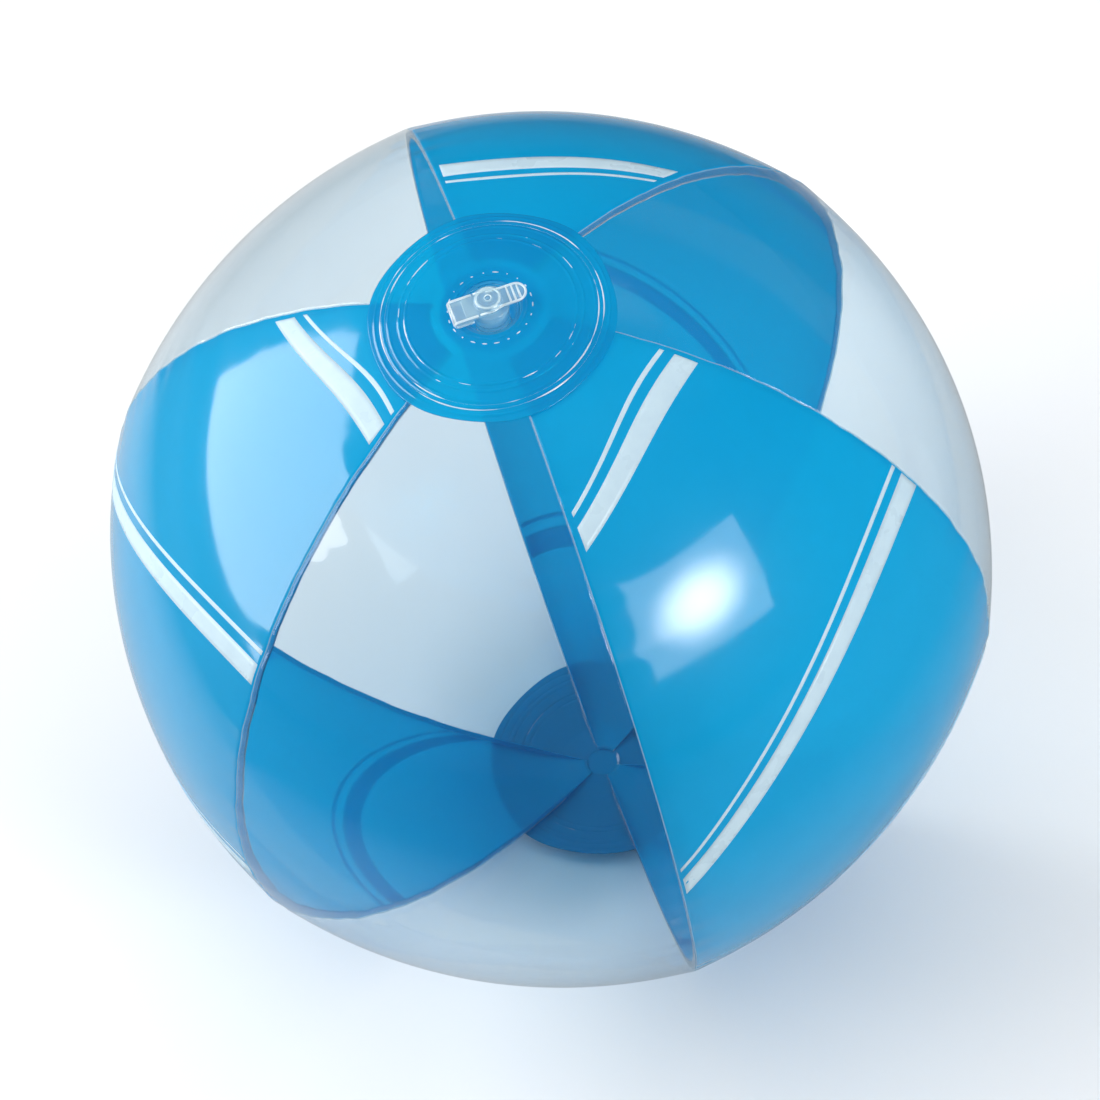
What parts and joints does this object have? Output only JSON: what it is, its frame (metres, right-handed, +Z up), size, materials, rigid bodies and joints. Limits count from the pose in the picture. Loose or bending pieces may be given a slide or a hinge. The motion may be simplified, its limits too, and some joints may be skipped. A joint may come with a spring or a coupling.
{
  "type": "inflatable beach ball",
  "caption": "Inflatable beach ball of see-through and tinted film gores with printed waves, round end caps and a push-in stopper valve.",
  "frame": {"origin": "centre of the flat patch that the ball rests on, under its centre", "axes": "+Z up along the pole axis from the bottom cap to the valve; +X towards the plug's pull tab; the strap folds on the -X side"},
  "size_m": [0.278, 0.284, 0.2856],
  "materials": {
    "blue_film": "see-through blue vinyl film, high gloss",
    "clear_film": "clear vinyl film, high gloss",
    "cap_film": "milky blue vinyl film, gloss, with fine weld rings",
    "clear_vinyl": "soft clear moulded vinyl"
  },
  "bodies": {
    "ball": {"blue_panel_1": "blue_film", "blue_panel_2": "blue_film", "blue_panel_3": "blue_film", "clear_panel_1": "clear_film", "clear_panel_2": "clear_film", "clear_panel_3": "clear_film", "top_cap": "cap_film", "bottom_cap": "cap_film", "valve_flange": "clear_vinyl", "valve_skirt": "clear_vinyl"},
    "valve": {"valve_stem": "clear_vinyl", "plug_strap": "clear_vinyl"},
    "plug": {"valve_plug": "clear_vinyl"},
    "flap": {"check_flap": "clear_vinyl"}
  },
  "joints": [
    {"name": "valve_slide", "type": "slide", "parent": "ball", "child": "valve", "axis": [0, 0, 1], "range_m": [0, 0.012], "deforming": ["valve_skirt"]},
    {"name": "plug_swing", "type": "hinge", "parent": "valve", "child": "plug", "pos_m": [-0.0106, 0, 0.28248], "axis": [0, -1, 0], "range_deg": [0, 165], "deforming": ["plug_strap"]},
    {"name": "flap_swing", "type": "hinge", "parent": "valve", "child": "flap", "pos_m": [-0.0045, 0, 0.27038], "axis": [0, 1, 0], "range_deg": [0, 60], "stiffness_Nm_per_rad": 0.00005, "springref_deg": -5.73}
  ]
}
